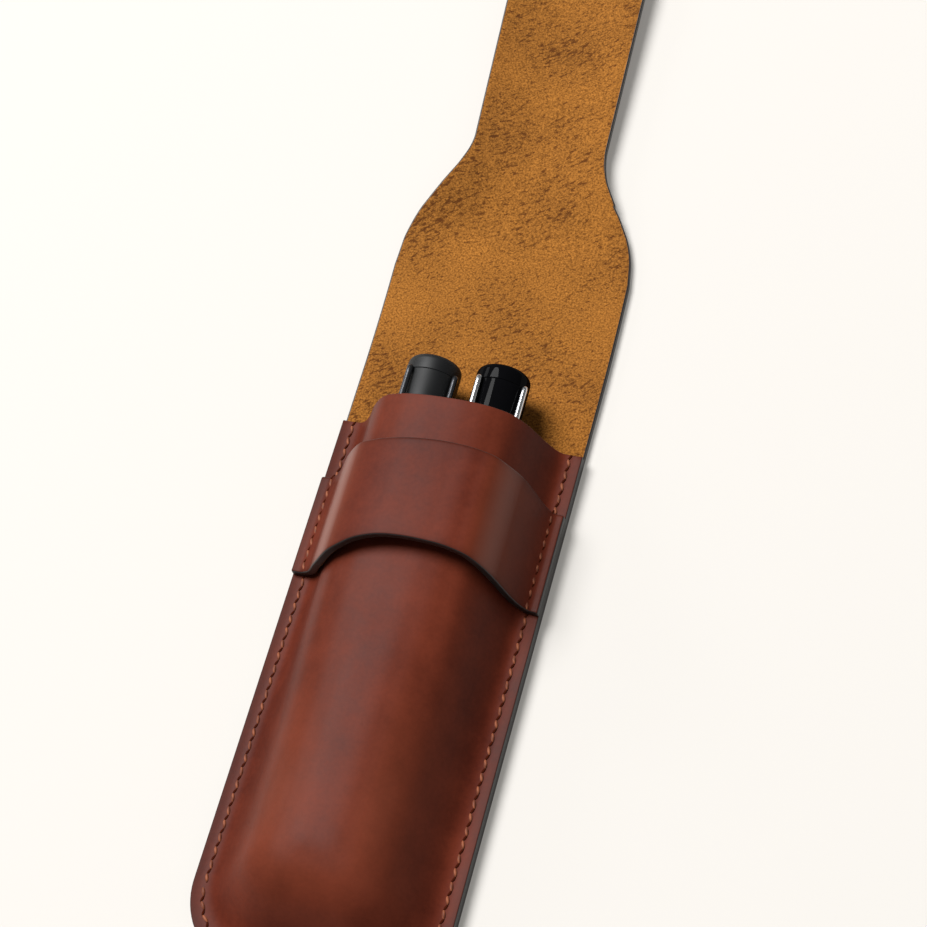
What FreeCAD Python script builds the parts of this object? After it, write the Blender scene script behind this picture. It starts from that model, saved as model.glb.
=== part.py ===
import FreeCAD
import Part
import Sketcher
import math
import os
import re

# Two-pen sleeve in moulded leather, lying open with its flap stretched out behind the mouth.
# Frame: the mouth lies along X at Y = 0, the pocket runs to -Y, the flap to +Y, and Z = 0 is the table.

# Driving dimensions in millimetres and degrees.
SIZES = {
    # Leather and outline of the sleeve
    "leather": 1.8,
    "pocket_length": 125.0,
    "corner_radius": 16.0,
    # Moulded pocket front, shaped round the two pens
    "pen_side_room": 8.1,
    "pen_end_room": 5.9,
    "mould_head_room": 2.3,
    "mould_side_angle": 20.0,
    "mould_corner": 14.0,
    "mould_top_radius": 10.0,
    "mould_base_radius": 3.0,
    "set_angle": 1.5,
    # Band that holds the tongue
    "band_offset": 15.4,
    "band_height": 23.6,
    "band_bow": 3.0,
    "band_shoulder": 5.0,
    "band_root": 0.5,
    "band_side_gap": 0.4,
    "band_crown": 1.2,
    "band_ridge": 150.0,
    "tuck_clearance": 0.3,
    # Flap
    "flap_length": 138.0,
    "flap_taper": 1.1,
    "flap_shoulder_at": 53.4,
    "flap_neck_at": 73.8,
    "flap_curve": 22.0,
    "tongue_width": 33.8,
    "tongue_end_width": 35.0,
    "tongue_end_radius": 11.0,
    "neck_tuck": 13.5,
    "flap_kink": 5.0,
    "flap_yaw": 2.5,
    # Thread
    "stitch_inset": 2.7,
    "stitch_length": 2.1,
    "stitch_width": 0.8,
    "stitch_thickness": 0.45,
    "band_stitches": 8,
    "groove_side": 0.2,
    "groove_cover": 0.15,
    # Pens
    "pen_spacing": 3.8,
    "pen_rest_gap": 0.3,
    "pen_roll": 15.0,
    "barrel_length": 66.0,
    "barrel_diameter": 11.4,
    "barrel_end_diameter": 10.8,
    "barrel_end_radius": 4.0,
    "barrel_bore": 7.8,
    "barrel_floor": 5.0,
    "neck_length": 4.0,
    "neck_diameter": 9.2,
    "cap_diameter": 12.2,
    "cap_clearance": 0.4,
    "cap_roof": 5.0,
    "crown_length": 4.0,
    "crown_radius": 2.0,
    "crown_plug": 6.8,
    "slip_fit": 0.1,
    "grip_length": 19.0,
    "grip_tenon": 12.0,
    "grip_waist": 7.8,
    "grip_lip": 8.4,
    "grip_flare": 2.0,
    "feed_diameter": 5.6,
    "feed_straight": 1.0,
    "feed_reach": 13.0,
    "feed_tip": 1.6,
    "nib_sheet": 0.25,
    "nib_tail": 9.0,
    "nib_straight": 5.0,
    "nib_reach": 18.0,
    "nib_point": 0.6,
    "nib_room": 10.7,
    "ink_diameter": 6.8,
    "ink_length": 44.0,
    "ink_spout": 6.0,
    "ink_wall": 0.6,
    "clip_wire": 1.2,
    "clip_span": 10.8,
    "clip_leg": 27.0,
    "clip_drop": 1.0,
    "clip_gap": 0.3,
    "clip_post": 2.3,
}

SIDES = {"left": -1, "right": 1}
# The flap closes by half a turn, shared equally among its fold lines.
FOLDS = 6
FOLD_ANGLE = 180 / FOLDS
# How near two points lie when they are meant to meet.
NEAR = 0.01

doc = FreeCAD.newDocument("pen_sleeve")
sheet = doc.addObject("Spreadsheet::Sheet", "Sizes")
for row, (alias, value) in enumerate(SIZES.items(), start=1):
    sheet.set(f"A{row}", alias)
    sheet.set(f"B{row}", str(value))
    sheet.setAlias(f"B{row}", alias)
doc.recompute()


def bind(text):
    """An expression on the sheet's cells, from a formula in plain size names."""
    return re.sub(r"\b[a-z]+(?:_[a-z]+)*\b", lambda m: f"Sizes.{m[0]}" if m[0] in SIZES else m[0], text)


def size(text):
    """The number that a formula in size names comes to."""
    value = sheet.evalExpression(bind(text))
    return float(getattr(value, "Value", value))


# Places along a pen, from the barrel's end to the top of the crown.
GRIP_AT = "(barrel_length + neck_length)"
GRIP_END = f"({GRIP_AT} + grip_length)"
ROOF_AT = f"({GRIP_END} + nib_reach + nib_room)"
CROWN_AT = f"({ROOF_AT} + cap_roof)"
PEN_LENGTH = f"({CROWN_AT} + crown_length)"
CLIP_AT = f"({CROWN_AT} - clip_drop)"
BOW_AT = f"({CLIP_AT} - clip_leg - clip_span / 2 - clip_wire / 2)"
GRIP_BORE = "(feed_diameter + 2 * nib_sheet + 3 * slip_fit)"
CLIP_STAND = "sqrt((cap_diameter / 2 + clip_gap + clip_wire / 2) ^ 2 - (clip_span / 2) ^ 2)"
CLIP_SLOPE = f"asin((cap_diameter / 2 + clip_gap + clip_wire / 2 - {CLIP_STAND}) / (clip_leg + clip_span / 2))"

# Sleeve round the pens: each pen lies on its barrel's end, parallel to the crest of the hump.
FLANGE = "(stitch_inset + stitch_width / 2 + band_root + leather + band_side_gap)"
PEN_PITCH = "(cap_diameter + pen_spacing)"
PEN_FOOT = f"({FLANGE} + pen_end_room - pocket_length)"
PEN_FLOOR = "(leather + pen_rest_gap + barrel_end_diameter / 2)"
PEN_RISE = "sin(set_angle)"
CLIP_TOP = f"({PEN_FLOOR} + {BOW_AT} * {PEN_RISE} + cap_diameter / 2 + clip_gap + clip_wire)"
MOULD_SIDE = f"({PEN_PITCH} / 2 + cap_diameter / 2 + pen_side_room)"
HALF = f"({MOULD_SIDE} + {FLANGE})"
CREST = (f"({CLIP_TOP} + mould_head_room + leather / cos(set_angle)"
         f" - tan(set_angle) * ({PEN_FOOT} + {BOW_AT}))")
ABOVE_ALL = f"(4 * {CREST})"
SEAM_X = f"({HALF} - stitch_inset)"
PITCH = "(band_height / band_stitches)"
GROOVE = "(stitch_thickness + groove_cover)"
BAND_INSIDE = f"({CREST} - tan(set_angle) * (band_offset - band_bow) + leather + 2 * tuck_clearance)"

# Folds about lines on the flesh side that lift the flap from the back to just above the crest.
TURNS = "(" + " + ".join(f"sin({turn * FOLD_ANGLE})" for turn in range(1, FOLDS)) + ")"
KINK_AT = "(flap_shoulder_at - flap_kink)"
NECK_LEVEL = f"tan(set_angle) * (flap_neck_at - neck_tuck - {KINK_AT})"
FOLD_STEP = f"(({CREST} + tuck_clearance - leather + {NECK_LEVEL}) / {TURNS})"
FOLD_SPAN = f"({FOLDS - 1} * {FOLD_STEP})"
FOLD_AT = f"((flap_neck_at - neck_tuck - {FOLD_SPAN}) / 2)"
FOLD_END = f"({FOLD_AT} + {FOLD_SPAN})"
SLANT = f"({HALF} * tan(flap_yaw / 2))"


def body(name):
    return doc.addObject("PartDesign::Body", name)


def sketch(owner, role, points, shift="0"):
    """A closed outline on one of the body's own planes, each corner bound to the sheet."""
    plane = next(f for f in owner.Origin.OriginFeatures if f.Role == role)
    outline = owner.newObject("Sketcher::SketchObject", owner.Name + "_outline")
    outline.AttachmentSupport = [(plane, "")]
    outline.MapMode = "FlatFace"
    outline.setExpression("AttachmentOffset.Base.z", bind(shift))
    corners = [FreeCAD.Vector(size(x), size(y), 0) for x, y in points]
    count = len(points)
    for i in range(count):
        outline.addGeometry(Part.LineSegment(corners[i], corners[(i + 1) % count]))
    for i in range(count):
        outline.addConstraint(Sketcher.Constraint("Coincident", i, 2, (i + 1) % count, 1))
    for i, (x, y) in enumerate(points):
        for kind, formula, value in (("DistanceX", x, corners[i].x), ("DistanceY", y, corners[i].y)):
            index = outline.addConstraint(Sketcher.Constraint(kind, -1, 1, i, 1, value))
            outline.setExpression(f"Constraints[{index}]", bind(formula))
    return outline


def pad(owner, outline, length, taper="0", centred=False):
    feature = owner.newObject("PartDesign::Pad", owner.Name + "_pad")
    feature.Profile = outline
    feature.setExpression("Length", bind(length))
    feature.setExpression("TaperAngle", bind(taper))
    feature.Midplane = centred
    doc.recompute()
    return feature


def turned(owner, points):
    """A solid of revolution about the body's Y axis, from (radius, height) corners."""
    outline = sketch(owner, "XY_Plane", points)
    feature = owner.newObject("PartDesign::Revolution", owner.Name + "_turn")
    feature.Profile = outline
    feature.ReferenceAxis = (outline, ["V_Axis"])
    feature.Angle = 360
    doc.recompute()
    return feature


def rounded(owner, base, radius, wanted):
    """A fillet on every edge of the base feature that the test picks."""
    names = [f"Edge{i}" for i, edge in enumerate(base.Shape.Edges, start=1) if wanted(edge)]
    feature = owner.newObject("PartDesign::Fillet", owner.Name + "_round")
    feature.Base = (base, names)
    feature.setExpression("Radius", bind(radius))
    doc.recompute()
    return feature


def primitive(kind, name, sizes, at=("0", "0", "0"), axis=(0, 0, 1), angle="0"):
    """A Part primitive with its sizes and its place bound to the sheet."""
    solid = doc.addObject("Part::" + kind, name)
    for prop, formula in sizes.items():
        solid.setExpression(prop, bind(formula))
    solid.Placement.Rotation = FreeCAD.Rotation(FreeCAD.Vector(*axis), size(angle))
    for letter, formula in zip("xyz", at):
        solid.setExpression("Placement.Base." + letter, bind(formula))
    return solid


def boolean(kind, name, base, tool):
    result = doc.addObject("Part::" + kind, name)
    result.Base = base
    result.Tool = tool
    doc.recompute()
    return result


def joined(name, solids):
    result = doc.addObject("Part::MultiFuse", name)
    result.Shapes = solids
    doc.recompute()
    return result


def ends(edge):
    return [v.Point for v in edge.Vertexes]


def along_z(edge):
    points = ends(edge)
    return len(points) == 2 and abs(points[0].z - points[1].z) > 0.5 * edge.Length


nodes = {}


def node(name, solid):
    """Registers a finished sub-part under the name of its file."""
    solid.Label = name
    nodes[name] = solid
    return solid


# Sleeve outline: square at the top, two large round corners at the bottom.
def plate(name, inset, top_left, top_right, bottom, height):
    owner = body(name)
    side = f"({HALF} - {inset})"
    foot = f"(-pocket_length + {inset})"
    corners = [(f"-{side}", top_left), (f"-{side}", foot), (side, foot), (side, top_right)]
    slab = pad(owner, sketch(owner, "XY_Plane", corners, bottom), height)
    lowest = size(foot)

    def bottom_corner(edge):
        return along_z(edge) and abs(ends(edge)[0].y - lowest) < NEAR

    rounded(owner, slab, f"corner_radius - {inset}", bottom_corner)
    return owner


# Back panel: flat, flesh side up, with a groove on its underside that the thread lies in.
back_blank = plate("back_blank", "0", f"{FOLD_AT} - {SLANT}", f"{FOLD_AT} + {SLANT}", "0", "leather")
groove_outer = plate("groove_outer", "(stitch_inset - stitch_width / 2 - groove_side)", "0", "0",
                     f"-{GROOVE}", f"2 * {GROOVE}")
groove_inner = plate("groove_inner", "(stitch_inset + stitch_width / 2 + groove_side)", GROOVE, GROOVE,
                     f"-2 * {GROOVE}", f"4 * {GROOVE}")
groove = boolean("Cut", "groove", groove_outer, groove_inner)
node("back_panel", boolean("Cut", "back_panel", back_blank, groove))


# Pocket front: a sewn flange round a raised mould with leaning sides, a soft top and a closed lower end.
# The same form, one leather thickness further in, makes the hollow.
def mould(name, flange_face, plate_bottom, plate_height, base_inset, crest, corner, top_radius, base_radius):
    owner = body(name)
    over = f"(2 * {CREST})"
    wide = f"({HALF} + leather)"
    slab_corners = [(f"-{wide}", over), (f"-{wide}", "-pocket_length - leather"),
                    (wide, "-pocket_length - leather"), (wide, over)]
    pad(owner, sketch(owner, "XY_Plane", slab_corners, plate_bottom), plate_height)
    side = f"({MOULD_SIDE} - {base_inset})"
    foot = f"(-pocket_length + {FLANGE} + {base_inset})"
    far = f"({over} - leather)"
    base_corners = [(f"-{side}", far), (f"-{side}", foot), (side, foot), (side, far)]
    rise = f"({crest} + tan(set_angle) * {over} - {flange_face})"
    pad(owner, sketch(owner, "XY_Plane", base_corners, flange_face), rise, "-mould_side_angle")
    above = [("-2 * pocket_length", f"{crest} - 2 * pocket_length * tan(set_angle)"),
             (over, f"{crest} + tan(set_angle) * {over}"),
             (over, ABOVE_ALL), ("-2 * pocket_length", ABOVE_ALL)]
    trim = owner.newObject("PartDesign::Pocket", owner.Name + "_trim")
    trim.Profile = sketch(owner, "YZ_Plane", above)
    trim.Type = "ThroughAll"
    trim.Midplane = True
    doc.recompute()
    face = size(flange_face)
    lowest = size(foot)

    def lower_corner(edge):
        low = min(ends(edge), key=lambda p: p.z)
        return along_z(edge) and abs(low.z - face) < NEAR and abs(low.y - lowest) < NEAR

    cornered = rounded(owner, trim, corner, lower_corner)
    fall = size("tan(set_angle)")
    top = size(crest)

    def top_edge(edge):
        on_top = all(abs(p.z - top - fall * p.y) < NEAR for p in ends(edge))
        return on_top and min(p.y for p in ends(edge)) < 0

    softened = rounded(owner, cornered, top_radius, top_edge)
    reach = size(side) + NEAR

    def base_edge(edge):
        flat = all(abs(p.z - face) < NEAR and abs(p.x) < reach for p in ends(edge))
        return flat and min(p.y for p in ends(edge)) < 0 and len(ends(edge)) == 2

    rounded(owner, softened, base_radius, base_edge)
    return owner


WALL_INSET = "(leather / cos(mould_side_angle) - leather * tan(mould_side_angle))"
outside = mould("mould_outside", "2 * leather", "leather", "leather", "0",
                CREST, "mould_corner", "mould_top_radius", "mould_base_radius")
inside = mould("mould_inside", "leather", "-leather", "2 * leather", WALL_INSET,
               f"({CREST} - leather / cos(set_angle))", "(mould_corner - leather)",
               "(mould_top_radius - leather)", "(mould_base_radius + leather)")
shell = boolean("Cut", "pocket_shell", outside, inside)
front_plan = plate("front_plan", "0", "0", "0", "0", f"2 * {CREST}")
node("pocket_front", boolean("Common", "pocket_front", shell, front_plan))


# Band: a strip arched over the pocket, clear of it by the tongue's thickness, with both edges bowed
# towards the mouth.
def band():
    owner = body("band_strip")
    corner = "(tongue_end_width / 2 + tuck_clearance + band_shoulder - leather)"
    outer = f"({corner} + leather)"
    inner_root = f"({MOULD_SIDE} + band_side_gap)"
    root = f"({inner_root} + leather)"
    top = f"({BAND_INSIDE} + leather)"
    right = [(HALF, "2 * leather"), (HALF, "3 * leather"), (root, "3 * leather"), (outer, top)]
    ridge = [("0", f"{top} + band_crown")]
    left = [(f"-{x}", z) for x, z in reversed(right)]
    under = [(f"-{inner_root}", "2 * leather"), (f"-{corner}", BAND_INSIDE),
             ("0", f"{BAND_INSIDE} + band_crown"), (corner, BAND_INSIDE), (inner_root, "2 * leather")]
    outline = sketch(owner, "XZ_Plane", right + ridge + left + under)
    strip = pad(owner, outline, "2 * pocket_length", "0", True)

    def fold_line(level, across):
        """Picks the long edges of the strip at one height and distance from the middle."""
        height = size(level)
        offset = size(across)

        def wanted(edge):
            points = ends(edge)
            if len(points) != 2 or abs(points[0].y - points[1].y) < size("band_height"):
                return False
            return all(abs(p.z - height) < NEAR and abs(abs(p.x) - offset) < NEAR for p in points)

        return wanted

    bends = [("band_shoulder", top, outer), ("band_shoulder - leather", BAND_INSIDE, corner),
             ("band_root", "3 * leather", root), ("band_root + leather", "2 * leather", inner_root),
             ("band_ridge", f"{top} + band_crown", "0"),
             ("band_ridge - leather", f"{BAND_INSIDE} + band_crown", "0")]
    for radius, level, across in bends:
        strip = rounded(owner, strip, radius, fold_line(level, across))
    reach = f"({SEAM_X} ^ 2 + band_bow ^ 2) / (2 * band_bow)"
    disc = {"Radius": reach, "Height": ABOVE_ALL}
    upper_middle = f"(band_bow - band_offset - {reach})"
    upper = primitive("Cylinder", "band_upper_edge", disc, ("0", upper_middle, "0"))
    lower = primitive("Cylinder", "band_lower_edge", disc, ("0", f"{upper_middle} - band_height", "0"))
    doc.recompute()
    return boolean("Cut", "tuck_band", boolean("Common", "band_below_edge", owner, upper), lower)


node("tuck_band", band())


# Flap: narrow strips that fold over the pens, then the shouldered tongue, all in one yawed line.
fold_origin = FreeCAD.Vector(0, size(FOLD_AT), 0)
fold_turn = FreeCAD.Rotation(FreeCAD.Vector(0, 0, 1), size("flap_yaw / 2"))
STRIP_LENGTH = f"(2 * {HALF} / cos(flap_yaw / 2))"
for count in range(1, FOLDS):
    strip = doc.addObject("Part::Box", f"flap_bend_{count}")
    strip.setExpression("Length", bind(STRIP_LENGTH))
    strip.setExpression("Width", bind(FOLD_STEP))
    strip.setExpression("Height", bind("leather"))
    corner = FreeCAD.Vector(-size(STRIP_LENGTH) / 2, (count - 1) * size(FOLD_STEP), 0)
    strip.Placement = FreeCAD.Placement(fold_origin + fold_turn.multVec(corner), fold_turn)
    node(f"flap_bend_{count}", strip)


def tongue():
    plan = body("tongue_plan")
    end = f"(flap_length - {FOLD_END})"
    shoulder = f"(flap_shoulder_at - {FOLD_END})"
    neck = f"(flap_neck_at - {FOLD_END})"
    right = [(HALF, f"-{SLANT}"), (f"({HALF} - flap_taper)", shoulder), ("tongue_width / 2", neck),
             ("tongue_end_width / 2", end)]
    left = [(f"-{x}", y) for x, y in reversed(right[1:])] + [(f"-{HALF}", SLANT)]
    prism = pad(plan, sketch(plan, "XY_Plane", right + left), ABOVE_ALL, "0", True)
    curve_ends = (size(shoulder), size(neck))
    far = size(end)

    def bend(edge):
        return along_z(edge) and any(abs(ends(edge)[0].y - y) < NEAR for y in curve_ends)

    def tip(edge):
        return along_z(edge) and abs(ends(edge)[0].y - far) < NEAR

    rounded(plan, rounded(plan, prism, "flap_curve", bend), "tongue_end_radius", tip)
    # Seen from the side the flap lies flat up to a slight kink before its shoulders and rises from there.
    slab = body("tongue_sheet")
    kink = f"({KINK_AT} - {FOLD_END})"
    run = "(2 * flap_length)"
    climb = f"(tan(set_angle) * ({run} - {kink}))"
    top_kink = f"({kink} - leather * tan(set_angle / 2))"
    profile = [(f"-{HALF}", "0"), (kink, "0"), (run, climb), (run, f"{climb} + leather / cos(set_angle)"),
               (top_kink, "leather"), (f"-{HALF}", "leather")]
    pad(slab, sketch(slab, "YZ_Plane", profile), f"4 * {HALF}", "0", True)
    piece = boolean("Common", "flap_tongue", plan, slab)
    start = fold_origin + fold_turn.multVec(FreeCAD.Vector(0, size(FOLD_SPAN), 0))
    yaw = FreeCAD.Rotation(FreeCAD.Vector(0, 0, 1), size("flap_yaw"))
    piece.Placement = FreeCAD.Placement(start, yaw)
    return piece


node("flap_tongue", tongue())


# Thread: one seam from the mouth down one side, round the bottom and up the other, in equal stitches
# counted from the band's upper edge so that none crosses an edge of the band.
def seam_places():
    """Each stitch as (run, x, y, angle) along the seam, the two sides first and then the bottom."""
    pitch = size(PITCH)
    across = size(SEAM_X)
    radius = size("corner_radius - stitch_inset")
    straight_end = size("corner_radius - pocket_length")
    first = size("-band_offset") - pitch / 2
    while first + pitch + size("stitch_length") / 2 < -size("stitch_inset") / 3:
        first += pitch
    places = []
    y = first
    while y > straight_end:
        for run, sign in SIDES.items():
            places.append((run, sign * across, y, 90))
        y -= pitch
    arc = math.pi / 2 * radius
    flat = 2 * (across - radius)
    lead = y + pitch - straight_end
    between = 2 * (arc + lead) + flat
    steps = round(between / pitch)
    for index in range(1, steps):
        travelled = index * between / steps - lead
        if travelled < arc:
            turn = math.pi + travelled / radius
            centre = -1
        elif travelled > arc + flat:
            turn = 1.5 * math.pi + (travelled - arc - flat) / radius
            centre = 1
        else:
            places.append(("bottom", travelled - arc - flat / 2, straight_end - radius, 0))
            continue
        x = centre * (across - radius) + radius * math.cos(turn)
        places.append(("bottom", x, straight_end + radius * math.sin(turn), math.degrees(turn) + 90))
    return places


def thread(name, run, level):
    """The stitches of one run on one face, as separate short bars of thread."""
    length = size("stitch_length")
    width = size("stitch_width")
    bars = []
    for place, x, y, angle in seam_places():
        if place != run:
            continue
        low_corner = FreeCAD.Vector(-length / 2, -width / 2, 0)
        bar = Part.makeBox(length, width, size("stitch_thickness"), low_corner)
        turn = FreeCAD.Rotation(FreeCAD.Vector(0, 0, 1), angle)
        bar.Placement = FreeCAD.Placement(FreeCAD.Vector(x, y, level(y)), turn)
        bars.append(bar)
    piece = doc.addObject("Part::Feature", name)
    piece.Shape = Part.Compound(bars)
    piece.Placement = FreeCAD.Placement()
    return piece


def front_level(y):
    on_band = size("-band_offset - band_height") < y < size("-band_offset")
    return size("3 * leather") if on_band else size("2 * leather")


def back_level(y):
    return size("groove_cover")


for run in ("left", "right", "bottom"):
    node(f"thread_front_{run}", thread(f"thread_front_{run}", run, front_level))
    node(f"thread_back_{run}", thread(f"thread_back_{run}", run, back_level))


# Pens: each is built along its own Y axis from the barrel's end, then laid in the pocket with its cap
# at the mouth and its clip up, rolled a little to one side.
def barrel(name):
    owner = body(name)
    base = turned(owner, [
        ("0", "0"), ("barrel_end_diameter / 2", "0"), ("barrel_diameter / 2", "barrel_length"),
        ("neck_diameter / 2", "barrel_length"), ("neck_diameter / 2", GRIP_AT),
        ("barrel_bore / 2", GRIP_AT), ("barrel_bore / 2", "barrel_floor"), ("0", "barrel_floor")])

    def end_ring(edge):
        return abs(edge.BoundBox.YMax) < NEAR and edge.BoundBox.XLength > 1

    rounded(owner, base, "barrel_end_radius", end_ring)
    return owner


def grip(name):
    owner = body(name)
    tenon = "(barrel_bore / 2 - slip_fit)"
    bore = f"{GRIP_BORE} / 2"
    turned(owner, [
        (bore, f"{GRIP_AT} - grip_tenon"), (tenon, f"{GRIP_AT} - grip_tenon"), (tenon, GRIP_AT),
        ("neck_diameter / 2", GRIP_AT), ("grip_waist / 2", f"{GRIP_END} - grip_flare"),
        ("grip_lip / 2", GRIP_END), (bore, GRIP_END)])
    return owner


def ink_cartridge(name):
    owner = body(name)
    seat = f"({GRIP_AT} - grip_tenon)"
    spout = f"({GRIP_BORE} / 2 - slip_fit)"
    hollow = f"({spout} - ink_wall)"
    turned(owner, [
        ("0", f"{seat} - ink_length"), ("ink_diameter / 2", f"{seat} - ink_length"), ("ink_diameter / 2", seat),
        (spout, seat), (spout, f"{seat} + ink_spout"), (hollow, f"{seat} + ink_spout"),
        (hollow, f"{seat} - ink_length + ink_wall"), ("0", f"{seat} - ink_length + ink_wall")])
    return owner


def feed(name):
    owner = body(name)
    tail = f"({GRIP_AT} - grip_tenon + ink_spout)"
    turned(owner, [
        ("0", tail), ("feed_diameter / 2", tail), ("feed_diameter / 2", f"{GRIP_END} + feed_straight"),
        ("feed_tip / 2", f"{GRIP_END} + feed_reach"), ("0", f"{GRIP_END} + feed_reach")])
    return owner


def nib(name):
    reach = {"Height": "nib_tail + nib_reach"}
    start = ("0", f"{GRIP_END} - nib_tail", "0")
    inner_radius = "feed_diameter / 2 + slip_fit / 2"
    outer_radius = f"{inner_radius} + nib_sheet"
    outer = primitive("Cylinder", name + "_outer", {"Radius": outer_radius, **reach}, start, (1, 0, 0), "-90")
    inner = primitive("Cylinder", name + "_inner", {"Radius": inner_radius, **reach}, start, (1, 0, 0), "-90")
    plan = body(name + "_plan")
    right = [("feed_diameter", f"{GRIP_END} - nib_tail"), ("feed_diameter", f"{GRIP_END} + nib_straight"),
             ("nib_point / 2", f"{GRIP_END} + nib_reach")]
    left = [(f"-{x}", y) for x, y in reversed(right)]
    pad(plan, sketch(plan, "XY_Plane", right + left, "feed_diameter / 4"), "feed_diameter")
    return boolean("Common", name, boolean("Cut", name + "_tube", outer, inner), plan)


def cap(name):
    owner = body(name + "_turned")
    bore = "(neck_diameter / 2 + cap_clearance)"
    turned(owner, [
        (bore, "barrel_length"), ("cap_diameter / 2", "barrel_length"), ("cap_diameter / 2", CROWN_AT),
        ("crown_plug / 2", CROWN_AT), ("crown_plug / 2", ROOF_AT), (bore, ROOF_AT)])
    piece = owner
    for side, sign in SIDES.items():
        hole = clip_post(f"{name}_hole_{side}", sign, "clip_wire / 2 + slip_fit / 2", "clip_post + clip_wire")
        piece = boolean("Cut", f"{name}_{side}", piece, hole)
    return piece


def crown(name):
    owner = body(name)
    plug = "(crown_plug / 2 - slip_fit / 2)"
    base = turned(owner, [
        ("0", ROOF_AT), (plug, ROOF_AT), (plug, CROWN_AT), ("cap_diameter / 2", CROWN_AT),
        ("cap_diameter / 2", PEN_LENGTH), ("0", PEN_LENGTH)])
    far = size(PEN_LENGTH)

    def end_ring(edge):
        return abs(edge.BoundBox.YMin - far) < NEAR and edge.BoundBox.XLength > 1

    rounded(owner, base, "crown_radius", end_ring)
    return owner


# Clip: a wire bent to a wide U that lies over the cap, its two ends let into the cap's wall.
def clip_post(name, sign, radius, height):
    """A round upright where one leg of the clip enters the cap."""
    foot = (f"{sign} * clip_span / 2", CLIP_AT, f"{CLIP_STAND} - clip_post")
    return primitive("Cylinder", name, {"Radius": radius, "Height": height}, foot)


def clip(name):
    wire = {"Radius": "clip_wire / 2"}
    leg = {"Height": "clip_leg", **wire}
    solids = []
    for side, sign in SIDES.items():
        knee = (f"{sign} * clip_span / 2", CLIP_AT, CLIP_STAND)
        solids.append(clip_post(f"{name}_post_{side}", sign, "clip_wire / 2", "clip_post"))
        solids.append(primitive("Sphere", f"{name}_knee_{side}", wire, knee))
        lie = f"90 deg - {CLIP_SLOPE}"
        solids.append(primitive("Cylinder", f"{name}_leg_{side}", leg, knee, (1, 0, 0), lie))
    ring = {"Radius1": "clip_span / 2", "Radius2": "clip_wire / 2", "Angle3": "180"}
    centre = ("0", f"{CLIP_AT} - clip_leg * cos({CLIP_SLOPE})", f"{CLIP_STAND} + clip_leg * sin({CLIP_SLOPE})")
    bow = primitive("Torus", name + "_bow", ring, centre)
    lay = FreeCAD.Rotation(FreeCAD.Vector(1, 0, 0), -size(CLIP_SLOPE))
    bow.Placement.Rotation = lay.multiply(FreeCAD.Rotation(FreeCAD.Vector(0, 0, 1), 180))
    solids.append(bow)
    return joined(name, solids)


PEN_PIECES = {"barrel": barrel, "grip": grip, "ink_cartridge": ink_cartridge, "feed": feed, "nib": nib,
              "cap": cap, "crown": crown, "clip": clip}


def pen_place(sign):
    tilt = FreeCAD.Rotation(FreeCAD.Vector(1, 0, 0), size(f"asin({PEN_RISE})"))
    roll = FreeCAD.Rotation(FreeCAD.Vector(0, 1, 0), size("pen_roll"))
    rest = FreeCAD.Vector(sign * size(PEN_PITCH) / 2, size(PEN_FOOT), size(PEN_FLOOR))
    return FreeCAD.Placement(rest, tilt.multiply(roll))


for side, sign in SIDES.items():
    for piece, make in PEN_PIECES.items():
        name = f"{side}_{piece}"
        node(name, make(name)).Placement = pen_place(sign)

doc.recompute()

for item in doc.Objects:
    if {"Invalid", "Error"} & set(item.State):
        raise RuntimeError(f"{item.Label} did not build: {item.State}")
for name, solid in nodes.items():
    if solid.Shape.isNull() or not solid.Shape.isValid() or not solid.Shape.Solids:
        raise RuntimeError(f"{name} has no valid solid")

os.makedirs("parts", exist_ok=True)
for name, solid in nodes.items():
    solid.Shape.exportStep(f"parts/{name}.step")
    box = solid.Shape.BoundBox
    print(f"{name}: {len(solid.Shape.Solids)} solids, {solid.Shape.Volume:.0f} mm3, "
          f"x {box.XMin:.2f}..{box.XMax:.2f} y {box.YMin:.2f}..{box.YMax:.2f} z {box.ZMin:.2f}..{box.ZMax:.2f}")
print(f"fold lines from y {size(FOLD_AT):.4f} in steps of {size(FOLD_STEP):.4f}")
print(f"crest {size(CREST):.3f}, band inside {size(BAND_INSIDE):.3f}, pen rise {size(PEN_RISE):.5f}")
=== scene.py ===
import math

import bmesh
import bpy
import numpy as np
from mathutils import Matrix, Vector


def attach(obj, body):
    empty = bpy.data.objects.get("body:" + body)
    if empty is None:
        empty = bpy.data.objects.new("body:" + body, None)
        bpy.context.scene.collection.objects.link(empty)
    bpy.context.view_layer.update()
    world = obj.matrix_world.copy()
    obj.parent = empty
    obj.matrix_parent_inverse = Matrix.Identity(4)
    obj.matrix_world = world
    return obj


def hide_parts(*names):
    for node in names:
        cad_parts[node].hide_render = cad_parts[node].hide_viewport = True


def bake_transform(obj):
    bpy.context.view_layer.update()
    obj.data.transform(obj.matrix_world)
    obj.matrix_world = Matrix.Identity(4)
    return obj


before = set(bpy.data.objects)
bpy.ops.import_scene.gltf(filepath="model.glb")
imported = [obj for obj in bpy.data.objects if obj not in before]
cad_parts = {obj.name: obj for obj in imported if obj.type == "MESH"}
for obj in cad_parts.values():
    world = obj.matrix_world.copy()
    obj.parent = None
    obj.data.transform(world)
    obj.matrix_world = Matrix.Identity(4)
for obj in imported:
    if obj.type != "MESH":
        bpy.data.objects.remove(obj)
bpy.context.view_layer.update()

# Back panel and flap: one long piece of vegetable-tanned leather, 1.8 mm thick, cut with shoulders that
# curve in to a tongue. It lies flesh side up, its cut edges are painted black, and the tongue's long
# edges curl up a little. Sizes are in millimetres, and MM turns them into metres.
MM = 0.001
LEATHER = 1.8
POCKET_LENGTH = 125.0
CORNER = 16.0
FOLD_AT = 16.0972
FOLD_STEP = 5.6211
FOLDS = 6
FOLD_END = FOLD_AT + (FOLDS - 1) * FOLD_STEP
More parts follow.
